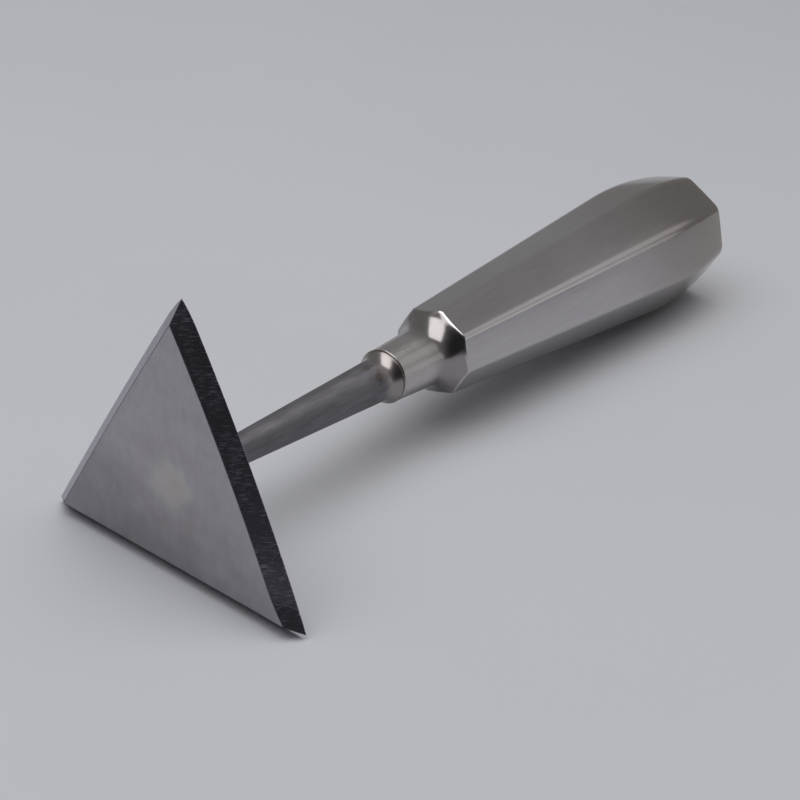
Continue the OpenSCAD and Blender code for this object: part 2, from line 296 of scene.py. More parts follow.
def groundPlateSteel():
    # tool steel, surface-ground and stoned: a soft sheen with fine upright lines and cloudy patches,
    # and a faint straw and rose tint in the middle, from the heat of the weld behind
    # (the lines are drawn 0.18 mm wide, because the real ones would not show)
    p = faceSteel
    material, tree = newMaterial("ground_tool_steel")
    coords = addNode(tree, "TexCoord", {}, "Object")
    lineRun = addNode(tree, "Mapping", {"Vector": coords, "Scale": perMetre(p["line"])})
    lines = addNode(tree, "TexNoise", {"Vector": lineRun, "Scale": 1, "Detail": 4}, "Fac")
    cloudRun = addNode(tree, "Mapping", {"Vector": coords, "Scale": perMetre(p["cloud"])})
    cloud = addNode(tree, "TexNoise", {"Vector": cloudRun, "Scale": 1, "Detail": 5}, "Fac")
    dark, pale = map(linear, p["colours"])
    steel = addNode(tree, "Mix", {0: cloud, 6: dark, 7: pale}, 2, **rgba)
    hatch = addNode(tree, "MapRange", {"Value": lines, **mostNoise,
                                       "To Min": p["hatch"][0], "To Max": p["hatch"][1]})
    speckRun = addNode(tree, "Mapping", {"Vector": coords, "Scale": perMetre(p["speck"])})
    specks = addNode(tree, "TexNoise", {"Vector": speckRun, "Scale": 1, "Detail": 5}, "Fac")
    mottle = addNode(tree, "MapRange", {"Value": specks, **mostNoise,
                                        "To Min": p["mottle"][0], "To Max": p["mottle"][1]})
    marks = addNode(tree, "Math", {0: hatch, 1: mottle}, operation="MULTIPLY")
    lined = addNode(tree, "Mix", {0: 1.0, 6: steel, 7: marks}, 2, **times)

    # distance from the middle of the heat, with an uneven border
    heatSpot = faceSpot + Vector(p["heatShift"]) * mm
    offset = addNode(tree, "VectorMath", {0: coords, 1: heatSpot}, operation="SUBTRACT")
    away = addNode(tree, "VectorMath", {0: offset}, "Value", operation="LENGTH")
    patchRun = addNode(tree, "Mapping", {"Vector": coords, "Scale": perMetre(p["patch"])})
    patches = addNode(tree, "TexNoise", {"Vector": patchRun, "Scale": 1, "Detail": 3}, "Fac")
    uneven = addNode(tree, "MapRange", {"Value": patches, "To Min": -p["patchBorder"] * mm,
                                        "To Max": p["patchBorder"] * mm})
    reach = addNode(tree, "Math", {0: away, 1: uneven}, operation="ADD")
    straw = addNode(tree, "MapRange", {"Value": reach, "From Min": p["strawFrom"] * mm,
                                       "From Max": p["strawTo"] * mm, "To Min": p["strawTint"],
                                       "To Max": 0}, **smooth)
    warmed = addNode(tree, "Mix", {0: straw, 6: lined, 7: linear(p["straw"])}, 2, **rgba)
    inner = addNode(tree, "MapRange", {"Value": reach, "From Min": p["roseIn"][0] * mm,
                                       "From Max": p["roseIn"][1] * mm}, **smooth)
    outer = addNode(tree, "MapRange", {"Value": reach, "From Min": p["roseOut"][0] * mm,
                                       "From Max": p["roseOut"][1] * mm, "To Min": p["roseTint"],
                                       "To Max": 0}, **smooth)
    rose = addNode(tree, "Math", {0: inner, 1: outer}, operation="MULTIPLY")
    tinted = addNode(tree, "Mix", {0: rose, 6: warmed, 7: linear(p["rose"])}, 2, **rgba)

    # painted shade: darker towards the lower edge and the left corner, lighter towards the top
    height = addNode(tree, "VectorMath", {0: coords, 1: p["paintedShadeUp"]}, "Value", operation="DOT_PRODUCT")
    wandering = addNode(tree, "MapRange", {"Value": cloud, "To Min": -p["paintedShadeWander"] * mm,
                                           "To Max": p["paintedShadeWander"] * mm})
    level = addNode(tree, "Math", {0: height, 1: wandering}, operation="ADD")
    paintedShade = addNode(tree, "MapRange", {"Value": level, "From Min": p["paintedShadeReach"][0] * mm,
                                       "From Max": p["paintedShadeReach"][1] * mm, "To Min": p["paintedShade"][0],
                                       "To Max": p["paintedShade"][1]}, **smooth)
    shadedFace = addNode(tree, "Mix", {0: 1.0, 6: tinted, 7: paintedShade}, 2, **times)
    sheen = addNode(tree, "MapRange", {"Value": cloud, **mostNoise,
                                       "To Min": p["roughness"][0], "To Max": p["roughness"][1]})
    relief = addNode(tree, "Bump", {"Height": lines, "Distance": p["lineDepth"] * mm,
                                    "Strength": p["lineRelief"]})
    shader = addNode(tree, "BsdfPrincipled", {"Base Color": shadedFace, "Metallic": 1, "Roughness": sheen,
                                              "Normal": relief})
    addNode(tree, "OutputMaterial", {"Surface": shader})
    return material


def groundBevelSteel():
    # the cutting bevels, ground across the edge on a coarse wheel: close dark furrows with stray bright ones
    # (drawn 0.1 mm wide, because the real ones would not show)
    p = bevelSteel
    material, tree = newMaterial("wheel_ground_bevel")
    coords = addNode(tree, "UVMap", {}, uv_map="edgeRun")  # in millimetres, X along the edge
    slant = (0, 0, math.radians(p["slant"]))
    furrowRun = addNode(tree, "Mapping", {"Vector": coords, "Scale": p["furrow"], "Rotation": slant},
                        vector_type="TEXTURE")
    furrows = addNode(tree, "TexNoise", {"Vector": furrowRun, "Scale": 1, "Detail": 3}, "Fac")
    strayRun = addNode(tree, "Mapping", {"Vector": coords, "Scale": p["stray"], "Rotation": slant,
                                         "Location": p["strayShift"]}, vector_type="TEXTURE")
    strays = addNode(tree, "TexNoise", {"Vector": strayRun, "Scale": 1, "Detail": 2}, "Fac")
    placesRun = addNode(tree, "Mapping", {"Vector": coords, "Scale": [1 / size for size in p["place"]]})
    places = addNode(tree, "TexNoise", {"Vector": placesRun, "Scale": 1, "Detail": 2}, "Fac")
    fewer = addNode(tree, "MapRange", {"Value": places, **mostNoise,
                                       "To Min": p["fewer"][0], "To Max": p["fewer"][1]})
    bright = addNode(tree, "Math", {0: strays, 1: fewer}, operation="SUBTRACT")
    torn = addNode(tree, "MapRange", {"Value": bright, "From Min": p["torn"][0], "From Max": p["torn"][1]})
    dark, pale = map(linear, p["colours"])
    steel = addNode(tree, "Mix", {0: torn, 6: dark, 7: pale}, 2, **rgba)
    dull = addNode(tree, "MapRange", {"Value": torn, "To Min": p["roughness"][0], "To Max": p["roughness"][1]})
    relief = addNode(tree, "Bump", {"Height": furrows, "Distance": p["depth"] * mm, "Strength": p["relief"]})
    shader = addNode(tree, "BsdfPrincipled", {"Base Color": steel, "Metallic": 1, "Roughness": dull,
                                              "Normal": relief})
    addNode(tree, "OutputMaterial", {"Surface": shader})
    return material


def burrLine():
    # the fine burr between the face and the bevels, drawn as a thin dark line
    p = burrSteel
    material, tree = newMaterial("dark_burr_line")
    coords = addNode(tree, "TexCoord", {}, "Object")
    spotRun = addNode(tree, "Mapping", {"Vector": coords, "Scale": perMetre(p["spot"])})
    spots = addNode(tree, "TexNoise", {"Vector": spotRun, "Scale": 1, "Detail": 3}, "Fac")
    dark, pale = map(linear, p["colours"])
    steel = addNode(tree, "Mix", {0: spots, 6: dark, 7: pale}, 2, **rgba)
    dull = addNode(tree, "MapRange", {"Value": spots, **mostNoise,
                                      "To Min": p["roughness"][0], "To Max": p["roughness"][1]})
    shader = addNode(tree, "BsdfPrincipled", {"Base Color": steel, "Metallic": 1, "Roughness": dull})
    addNode(tree, "OutputMaterial", {"Surface": shader})
    return material


def facingVector(degrees):
    return Vector((math.cos(math.radians(degrees)), math.sin(math.radians(degrees)), 0))


def makePlate():
    half = plate["side"] / 2
    reach = half * math.tan(math.radians(30))
    bows = {90: 0, 210: plate["bowLeft"], 330: plate["bowRight"]}  # by the direction that each edge faces
    edgeDepth = -1.5 * plate["edgeLand"]  # the sharp edge lies behind this depth, the face before it
    touching = 0.002
    deselect()
    bpy.ops.mesh.primitive_circle_add(vertices=3, radius=2 * reach, rotation=(0, 0, math.pi),
                                      fill_type="NGON")
    piece = bpy.context.object
    piece.name = "ground_plate"
    bpy.ops.object.transform_apply(rotation=True)
    bpy.ops.object.mode_set(mode="EDIT")
    bpy.ops.mesh.select_all(action="SELECT")
    bpy.ops.mesh.extrude_region_move(TRANSFORM_OT_translate={"value": (0, 0, -plate["edgeLand"])})
    bpy.ops.mesh.select_all(action="SELECT")
    bpy.ops.mesh.normals_make_consistent(inside=False)
    pickFaces(piece, lambda f: f.normal.z < -0.9)  # the front
    bpy.ops.mesh.inset(thickness=plate["bevel"], depth=plateThick - plate["edgeLand"])
    bpy.ops.mesh.region_to_loop()
    bpy.ops.mesh.bevel(offset=plate["frontSoft"], segments=2, affect="EDGES")

    # cut the long edges up finely, with both faces open meanwhile
    pickFaces(piece, lambda f: abs(f.normal.z) > 0.99)
    bpy.ops.mesh.delete(type="ONLY_FACE")
    pickEdges(piece, lambda a, b: (a - b).length > half)
    bpy.ops.mesh.subdivide(number_cuts=plate["cuts"])
    bpy.ops.mesh.select_all(action="SELECT")
    bpy.ops.mesh.fill_holes(sides=0)
    bpy.ops.mesh.normals_make_consistent(inside=False)
    bpy.ops.object.mode_set(mode="OBJECT")

    # bow the two upper edges; a corner goes out with both of its edges
    levels = {}  # how far the edges lie from the middle at each depth
    for v in piece.data.vertices:
        z = round(v.co.z, 3)
        levels[z] = max(levels.get(z, 0), v.co.y)
    for v in piece.data.vertices:
        rises = []
        for facing, bow in bows.items():
            outward = facingVector(facing)
            if levels[round(v.co.z, 3)] - outward.dot(v.co) > touching:
                continue
            along = Vector((-outward.y, outward.x, 0)).dot(v.co)
            rises.append((outward, bow * (1 - (along / half) ** 2)))
        if len(rises) == 1:
            v.co += rises[0][0] * rises[0][1]
        elif len(rises) == 2:
            (p, riseP), (q, riseQ) = rises
            cross = p.x * q.y - p.y * q.x
            v.co.x += (riseP * q.y - riseQ * p.y) / cross
            v.co.y += (riseQ * p.x - riseP * q.x) / cross

    # the top tip is worn straight back, the right one up along its edge, and the left one is blunt;
    # the face reaches further into the right corner, where the bevel is narrower
    faceCorner = Vector((half - math.sqrt(3) * plate["bevel"], reach - plate["bevel"], 0))
    wornTips = [(True, Vector((0, -2 * reach, 0)), Vector((0, plate["topWear"], 0))),
                (True, Vector((half, reach, 0)), -facingVector(60) * plate["rightWear"]),
                (False, faceCorner, Vector(plate["faceShift"]))]
    for v in piece.data.vertices:
        onEdge = v.co.z > edgeDepth
        for atEdge, tip, shift in wornTips:
            apart = math.hypot(v.co.x - tip.x, v.co.y - tip.y)
            if atEdge == onEdge:
                v.co += shift * max(0, 1 - apart / plate["wearRun"]) ** 2
        if onEdge and v.co.x < -half / 2:
            v.co.xy *= min(1, (2 * reach - plate["leftWear"]) / math.hypot(v.co.x, v.co.y))

    # wear: the sharp edge is a little ragged, with small nicks here and there
    rng = random.Random(plate["seed"])
    dents = {}
    for v in piece.data.vertices:
        if v.co.z < edgeDepth:
            continue
        key = (round(v.co.x, 2), round(v.co.y, 2))
        if key not in dents:
            nick = plate["nickDepth"] * rng.random() if rng.random() < plate["nickShare"] else 0
            dents[key] = nick + plate["ragged"] * rng.random()
        if v.co.y > reach - 5 * touching:  # the lower edge has no nicks
            inward = Vector((0, -1, 0))
            dents[key] = min(dents[key], plate["ragged"])
        else:
            inward = Vector((-math.copysign(math.cos(math.radians(30)), v.co.x), 0.5, 0))
        v.co += inward * dents[key]

    # blind hole for the shank's spigot
    deselect()
    bpy.ops.mesh.primitive_cylinder_add(vertices=plate["holeSides"], radius=plate["hole"],
                                        depth=2 * plate["holeDepth"])
    drill = bpy.context.object
    makeActive(piece)
    cut = piece.modifiers.new("hole", "BOOLEAN")
    cut.object = drill
    cut.operation = "DIFFERENCE"
    bpy.ops.object.modifier_apply(modifier=cut.name)
    bpy.data.objects.remove(drill)

    # the bevels and the burr take their own materials; the map has X along the edge and Y across it,
    # in millimetres, with one direction for each edge, so that the lines stay straight
    edgeRun = piece.data.uv_layers.new(name="edgeRun")
    burrBack = -plateThick + 3 * plate["frontSoft"]
    for f in piece.data.polygons:
        sloped = abs(f.normal.z) < plate["bevelTilt"] and f.center.length > plate["offHole"]
        burr = not sloped and abs(f.normal.z) < plate["burrTilt"] and f.center.z < burrBack
        f.material_index = 2 if burr else 1 if sloped else 0
        thirds = round((math.degrees(math.atan2(f.normal.y, f.normal.x)) - 90) / 120) if sloped else 0
        across = facingVector(90 + 120 * thirds)
        along = Vector((-across.y, across.x, 0))
        for i in f.loop_indices:
            co = piece.data.vertices[piece.data.loops[i].vertex_index].co
            edgeRun.data[i].uv = (along.dot(co), across.dot(co))
    steels = [groundPlateSteel(), groundBevelSteel(), burrLine()]
    finishPiece(piece, ["blade"], steels, plate["smoothAngle"])


makePlate()
print("plate made")

# shank: spigot, long taper, the bolster's flare with a rounded rim, and the tang inside the handle
shank = {"spigot": (1.0, 0.8), "bladeEnd": 1.7, "bolsterEnd": 3.25, "taperLength": 40.3, "taperRings": 20,
         "flareTilt": 45, "rim": 4.1, "rimRound": 0.45, "crest": 41.0, "arcRings": 16, "mouth": 41.4,
         "tang": 2.9, "tangEnd": 61.4, "tangChamfer": 0.8, "steps": 128, "smoothAngle": 30}
# the runs are places along the bench, in millimetres
shankSteel = {"colours": ("#656368", "#8d8b90"), "line": (0.4, 4, 0.4), "cloud": (3, 7, 3),
              "hatch": (0.84, 1.12), "roughness": (0.52, 0.62), "lineDepth": 0.02, "lineRelief": 0.25,
              "stain": "#5f5049", "stainTint": 0.6, "spot": (1.3, 2.2, 1.3), "spotted": (0.5, 0.62),
              "stainStart": (-26.5, -23.5), "stainEnd": (-21.5, -20.5),
              "flare": "#9b9593", "flareRun": (-22.6, -20.4), "flareSheen": 0.45,
              "rimDark": "#4a413b", "rimDarkTint": 0.7, "rimDarkRun": (-19.34, -19.18)}


def filedShankSteel():
    # mild steel bar, turned to a taper and left from the file: dull grey with fine lines along it,
    # brown stains where the flux ran, a polished flare and a dark brown ring at the rim by the braze
    # (the file's lines are drawn 0.4 mm wide, because the real ones would not show)
    p = shankSteel
    material, tree = newMaterial("filed_mild_steel")
    coords = addNode(tree, "TexCoord", {}, "Object")
    lineRun = addNode(tree, "Mapping", {"Vector": coords, "Scale": perMetre(p["line"])})
    lines = addNode(tree, "TexNoise", {"Vector": lineRun, "Scale": 1, "Detail": 4}, "Fac")
    cloudRun = addNode(tree, "Mapping", {"Vector": coords, "Scale": perMetre(p["cloud"])})
    cloud = addNode(tree, "TexNoise", {"Vector": cloudRun, "Scale": 1, "Detail": 4}, "Fac")
    dark, pale = map(linear, p["colours"])
    steel = addNode(tree, "Mix", {0: cloud, 6: dark, 7: pale}, 2, **rgba)
    hatch = addNode(tree, "MapRange", {"Value": lines, **mostNoise,
                                       "To Min": p["hatch"][0], "To Max": p["hatch"][1]})
    lined = addNode(tree, "Mix", {0: 1.0, 6: steel, 7: hatch}, 2, **times)

    alongBench = addNode(tree, "SeparateXYZ", {0: coords}, "Y")
    before = addNode(tree, "MapRange", {"Value": alongBench, "From Min": p["stainStart"][0] * mm,
                                        "From Max": p["stainStart"][1] * mm})
    beyond = addNode(tree, "MapRange", {"Value": alongBench, "From Min": p["stainEnd"][0] * mm,
                                        "From Max": p["stainEnd"][1] * mm, "To Min": 1, "To Max": 0})
    nearBolster = addNode(tree, "Math", {0: before, 1: beyond}, operation="MULTIPLY")
    spotRun = addNode(tree, "Mapping", {"Vector": coords, "Scale": perMetre(p["spot"])})
    spots = addNode(tree, "TexNoise", {"Vector": spotRun, "Scale": 1, "Detail": 4}, "Fac")
    spotted = addNode(tree, "MapRange", {"Value": spots, "From Min": p["spotted"][0],
                                         "From Max": p["spotted"][1], "To Min": 0,
                                         "To Max": p["stainTint"]})
    stain = addNode(tree, "Math", {0: nearBolster, 1: spotted}, operation="MULTIPLY")
    stained = addNode(tree, "Mix", {0: stain, 6: lined, 7: linear(p["stain"])}, 2, **rgba)

    polished = addNode(tree, "MapRange", {"Value": alongBench, "From Min": p["flareRun"][0] * mm,
                                          "From Max": p["flareRun"][1] * mm}, **smooth)
    buffed = addNode(tree, "Mix", {0: polished, 6: stained, 7: linear(p["flare"])}, 2, **rgba)
    rimDark = addNode(tree, "MapRange", {"Value": alongBench, "From Min": p["rimDarkRun"][0] * mm,
                                       "From Max": p["rimDarkRun"][1] * mm, "To Max": p["rimDarkTint"]})
    rimmed = addNode(tree, "Mix", {0: rimDark, 6: buffed, 7: linear(p["rimDark"])}, 2, **rgba)
    filed = addNode(tree, "MapRange", {"Value": cloud, **mostNoise,
                                       "To Min": p["roughness"][0], "To Max": p["roughness"][1]})
    eased = addNode(tree, "MapRange", {"Value": polished, "To Min": 1, "To Max": p["flareSheen"]})
    sheen = addNode(tree, "Math", {0: filed, 1: eased}, operation="MULTIPLY")
    relief = addNode(tree, "Bump", {"Height": lines, "Distance": p["lineDepth"] * mm,
                                    "Strength": p["lineRelief"]})
    shader = addNode(tree, "BsdfPrincipled", {"Base Color": rimmed, "Metallic": 1, "Roughness": sheen,
                                              "Normal": relief})
    addNode(tree, "OutputMaterial", {"Surface": shader})
    return material


def makeShank():
    s = shank
    taper = math.atan((s["bolsterEnd"] - s["bladeEnd"]) / s["taperLength"])
    tilt = math.radians(s["flareTilt"])
    # the flare is an arc that leaves the taper and meets the rounded rim
    rimCentre = (s["rim"] - s["rimRound"], s["crest"])
    meetR = rimCentre[0] + s["rimRound"] * math.cos(tilt)
    meetZ = rimCentre[1] - s["rimRound"] * math.sin(tilt)
    lift = math.cos(taper) - math.cos(tilt)
    run = math.sin(tilt) - math.sin(taper)
    radius = (meetR - s["bladeEnd"] - math.tan(taper) * meetZ) / (lift - math.tan(taper) * run)
    hollowCentre = (meetR + radius * math.cos(tilt), meetZ - radius * math.sin(tilt))
    flare = arcPoints(hollowCentre, radius, math.pi - taper, math.pi - tilt, s["arcRings"])
    rimEnd = math.asin((s["mouth"] - s["crest"]) / s["rimRound"])
    rim = arcPoints(rimCentre, s["rimRound"], -tilt, rimEnd, s["arcRings"])
    taperRun = []
    for i in range(s["taperRings"]):
        t = i / s["taperRings"]
        taperRun.append((s["bladeEnd"] + (flare[0][0] - s["bladeEnd"]) * t, flare[0][1] * t))
    spigotR, spigotLength = s["spigot"]
    outline = [(0, -spigotLength), (spigotR, -spigotLength), (spigotR, 0)] + taperRun + flare + rim[1:]
    outline += [(s["tang"], s["mouth"]), (s["tang"], s["tangEnd"] - s["tangChamfer"]),
                (s["tang"] - s["tangChamfer"], s["tangEnd"]), (0, s["tangEnd"])]
    piece = turnOutline("tapered_shank", outline, s["steps"])
    finishPiece(piece, ["shank"], [filedShankSteel()], s["smoothAngle"])


makeShank()
print("shank made")

# weld behind the plate: a rippled bead round the foot of the shank
weld = {"leg": 0.86, "swell": 0.1, "rings": 12, "sink": 0.02, "ripples": 26, "ripple": 0.05, "lean": 0.6,
        "seat": 0.002, "steps": 208, "smoothAngle": 50}
weldMetal = {"colours": ("#75685f", "#6d6a76"), "cloud": (0.8, 0.8, 0.8), "blued": (0.42, 0.6),
             "roughness": (0.4, 0.6), "depth": 0.05, "relief": 0.5}


def heatTintedBead():
    # steel weld metal, wire-brushed after welding: rough, brown to blue from the heat
    p = weldMetal
    material, tree = newMaterial("brushed_weld_metal")
    coords = addNode(tree, "TexCoord", {}, "Object")
    cloudRun = addNode(tree, "Mapping", {"Vector": coords, "Scale": perMetre(p["cloud"])})
    cloud = addNode(tree, "TexNoise", {"Vector": cloudRun, "Scale": 1, "Detail": 4}, "Fac")
    blued = addNode(tree, "MapRange", {"Value": cloud, "From Min": p["blued"][0], "From Max": p["blued"][1]})
    brown, blue = map(linear, p["colours"])
    heat = addNode(tree, "Mix", {0: blued, 6: brown, 7: blue}, 2, **rgba)
    rough = addNode(tree, "MapRange", {"Value": cloud, **mostNoise,
                                       "To Min": p["roughness"][0], "To Max": p["roughness"][1]})
    relief = addNode(tree, "Bump", {"Height": cloud, "Distance": p["depth"] * mm, "Strength": p["relief"]})
    shader = addNode(tree, "BsdfPrincipled", {"Base Color": heat, "Metallic": 1, "Roughness": rough,
                                              "Normal": relief})
    addNode(tree, "OutputMaterial", {"Surface": shader})
    return material


def makeWeld():
    foot = shank["bladeEnd"]
    leg = weld["leg"]
    face = []
    for i in range(weld["rings"] + 1):
        t = i / weld["rings"]
        swell = weld["swell"] * leg * math.sin(math.pi * t)
        face.append((foot + leg * (1 - t) + swell, leg * t + swell))
    hidden = foot - weld["sink"]  # the bead's inner side, just inside the shank
    outline = [(hidden, 0.0)] + face + [(hidden, leg), (hidden, 0.0)]
    piece = turnOutline("plate_weld", outline, weld["steps"])
    for v in piece.data.vertices:  # overlapping ripples, one after another round the shank
        radius = math.hypot(v.co.x, v.co.y)
        if radius < foot + weld["sink"] or v.co.z < weld["sink"] / 2:
            continue
        phase = math.atan2(v.co.y, v.co.x) / turn * weld["ripples"] + weld["lean"] * v.co.z
        dip = weld["ripple"] * (phase % 1.0) ** 2
        v.co.x *= 1 - dip / radius
        v.co.y *= 1 - dip / radius
        v.co.z = max(v.co.z - dip, weld["seat"])
    finishPiece(piece, ["blade_weld"], [heatTintedBead()], weld["smoothAngle"])


makeWeld()
print("weld made")

# handle: a turned neck and flare run into eight pressed flats; two halves and the weld between them
handle = {"mouth": 41.4, "mouthChamfer": 0.08, "neckMouth": 4.0, "neckFlare": 4.45, "flareStart": 49.0,
          "flareRadius": 4.4, "flareEnd": 71, "gripStart": 53.4, "gripFront": 6.55, "barrelStart": 104.0,
          "gripBack": 10.23, "barrelRadius": 68, "butt": 122.4, "buttRound": 1.0, "ridgeFront": 0.35,
          "ridgeBack": 0.6, "crown": 2.5, "borderSoft": 0.6, "roll": 6.2, "wall": 1.1, "bore": 2.95,
          "boreLip": 0.5, "seam": 0.5, "seamCrown": 0.03, "skin": 0.3, "blank": 20, "smoothAngle": 42}
# how finely the handle is drawn: steps round it, how far they crowd to the ridges, and rings along it
handleMesh = {"steps": 192, "crowding": 0.75, "neck": 10, "flare": 44, "flareInside": 12,
              "border": (-0.35, -0.2, 0, 0.4, 1.1), "gripFrom": 2.6, "grip": 24, "barrel": 16,
              "barrelInside": 8, "rim": 12, "buttParts": (0.9, 0.6, 0.3, 0)}
facet = math.radians(45)
halfFacet = facet / 2
handleRoll = math.radians(handle["roll"])
seamNormal = Vector((math.cos(handleRoll - facet), math.sin(handleRoll - facet), 0))
neckAngle = math.atan((handle["neckFlare"] - handle["neckMouth"]) / (handle["flareStart"] - handle["mouth"]))
flareCentre = (handle["neckFlare"] + handle["flareRadius"] * math.cos(neckAngle),
               handle["flareStart"] - handle["flareRadius"] * math.sin(neckAngle))
gripLength = handle["barrelStart"] - handle["gripStart"]
gripAngle = math.atan((handle["gripBack"] - handle["gripFront"]) / gripLength)
barrelCentre = (handle["gripBack"] - handle["barrelRadius"] * math.cos(gripAngle),
                handle["barrelStart"] + handle["barrelRadius"] * math.sin(gripAngle))
rimZ = handle["butt"] - handle["buttRound"]  # the butt's rounded edge touches the barrel and the end face
rimTurn = math.asin((rimZ - barrelCentre[1]) / (handle["barrelRadius"] - handle["buttRound"]))
rimX = barrelCentre[0] + (handle["barrelRadius"] - handle["buttRound"]) * math.cos(rimTurn)

# the runs are places along the bench, in millimetres
satinSteel = {"colours": ("#bbb7ba", "#c7c4c5"), "line": (0.3, 12, 0.3), "cloud": (5, 14, 5),
              # the two butt entries set the painted shade towards the butt
              "hatch": (0.95, 1.03), "buttShade": "#cfc8be", "buttShadeRun": (22, 62), "roughness": (0.11, 0.17),
              "lineDepth": 0.01, "lineRelief": 0.25}
buffedSteel = {"flare": "#9b9696", "neck": "#bdb8b8", "neckEnd": (-14, -10), "line": (0.5, 6, 0.5),
               "cloud": (2, 4, 2), "mottle": (0.94, 1.06), "roughness": (0.15, 0.21), "neckDull": 0.1,
               "lineDepth": 0.02, "lineRelief": 0.2}
seamSteel = {"colours": ("#959194", "#a6a2a5"), "mark": (0.8, 0.2, 0.8), "roughness": (0.22, 0.34),
             "depth": 0.04, "relief": 0.5}


def flatAt(z):
    # half width across the flats: a straight taper, a barrelled end and a rounded edge
    if z < handle["barrelStart"]:
        return handle["gripFront"] + math.tan(gripAngle) * (z - handle["gripStart"])
    if z < rimZ + handle["buttRound"] * math.sin(rimTurn):
        return barrelCentre[0] + math.sqrt(handle["barrelRadius"] ** 2 - (z - barrelCentre[1]) ** 2)
    return rimX + math.sqrt(max(handle["buttRound"] ** 2 - (z - rimZ) ** 2, 0))


def softMin(a, b, soft):
    # the smaller of two, rounded where they meet
    overlap = max(soft - abs(a - b), 0) / soft
    return min(a, b) - overlap * overlap * soft / 4


def facetRadius(flat, fromFlat):
    # one flat in section, slightly crowned
    bend = flat * math.tan(halfFacet) / math.sin(math.radians(handle["crown"]))
    back = bend - flat
    return math.sqrt(bend ** 2 - (back * math.sin(fromFlat)) ** 2) - back * math.cos(fromFlat)


def pressedRadius(angle, z, inset):
    # radius of the eight-sided section with rounded ridges
    flat = flatAt(z) - inset
    t = min(max((z - handle["gripStart"]) / gripLength, 0), 1)
    soft = handle["ridgeFront"] + (handle["ridgeBack"] - handle["ridgeFront"]) * t
    fromRidge = (angle - handleRoll) % facet
    fromRidge = min(fromRidge, facet - fromRidge)
    return softMin(facetRadius(flat, halfFacet - fromRidge), facetRadius(flat, halfFacet + fromRidge), soft)


def turnedRadius(z):
    # radius of the neck and flare, and of the blank beyond them
    if z <= handle["flareStart"]:
        t = (z - handle["mouth"]) / (handle["flareStart"] - handle["mouth"])
        return handle["neckMouth"] + (handle["neckFlare"] - handle["neckMouth"]) * t
    drop = handle["flareRadius"] ** 2 - (z - flareCentre[1]) ** 2
    return flareCentre[0] - math.sqrt(drop) if drop > 0 else handle["blank"]


def between(start, end, count):
    return [start + (end - start) * i / count for i in range(count)]


def handleOutline(inset):
    # half outline of the turned blank before the flats are pressed, from the bore to the middle of the butt
    h = handle
    rings = handleMesh
    points = [(h["bore"], h["mouth"])]
    if inset == 0:
        points += [(h["neckMouth"] - h["mouthChamfer"], h["mouth"])]
        neckRun = between(h["mouth"] + h["mouthChamfer"], h["flareStart"], rings["neck"])
        points += [(turnedRadius(z), z) for z in neckRun]
        first, count = neckAngle, rings["flare"]
    else:
        points += [(h["bore"], h["flareStart"])]
        first = math.acos((flareCentre[0] - h["bore"] - h["boreLip"]) / (h["flareRadius"] + inset))
        count = rings["flareInside"]
    flareEnd = math.radians(h["flareEnd"])
    points += arcPoints(flareCentre, h["flareRadius"] + inset, math.pi - first, math.pi - flareEnd, count)
    grip = [h["gripStart"] + step for step in rings["border"]]
    grip += between(h["gripStart"] + rings["gripFrom"], h["barrelStart"], rings["grip"])
    if inset == 0:
        rim = arcPoints((0, rimZ), h["buttRound"], rimTurn, math.pi / 2, rings["rim"])
        grip += between(h["barrelStart"], rim[0][1], rings["barrel"]) + [z for _, z in rim]
    else:
        grip += between(h["barrelStart"], h["butt"] - inset, rings["barrelInside"]) + [h["butt"] - inset]
    flareTop = points[-1][1] + 0.01  # leaves out the rings that the flare has passed
    points += [(h["blank"], z) for z in grip if z > flareTop]
    endFlat = flatAt(grip[-1]) - inset
    points += [(endFlat * part, grip[-1]) for part in rings["buttParts"]]
    return points


def pressFlats(piece, inset):
    # closes the columns up towards the ridges, then presses the turned blank onto the flats
    for v in piece.data.vertices:
        radius = math.hypot(v.co.x, v.co.y)
        if radius < 0.001:  # the middle of the butt stays
            continue
        part = math.atan2(v.co.y, v.co.x) / facet
        whole = math.floor(part)
        part -= whole
        angle = handleRoll + facet * (whole + part - handleMesh["crowding"] * math.sin(turn * part) / turn)
        radius = softMin(radius, pressedRadius(angle, v.co.z, inset), handle["borderSoft"])
        v.co.x = radius * math.cos(angle)
        v.co.y = radius * math.sin(angle)


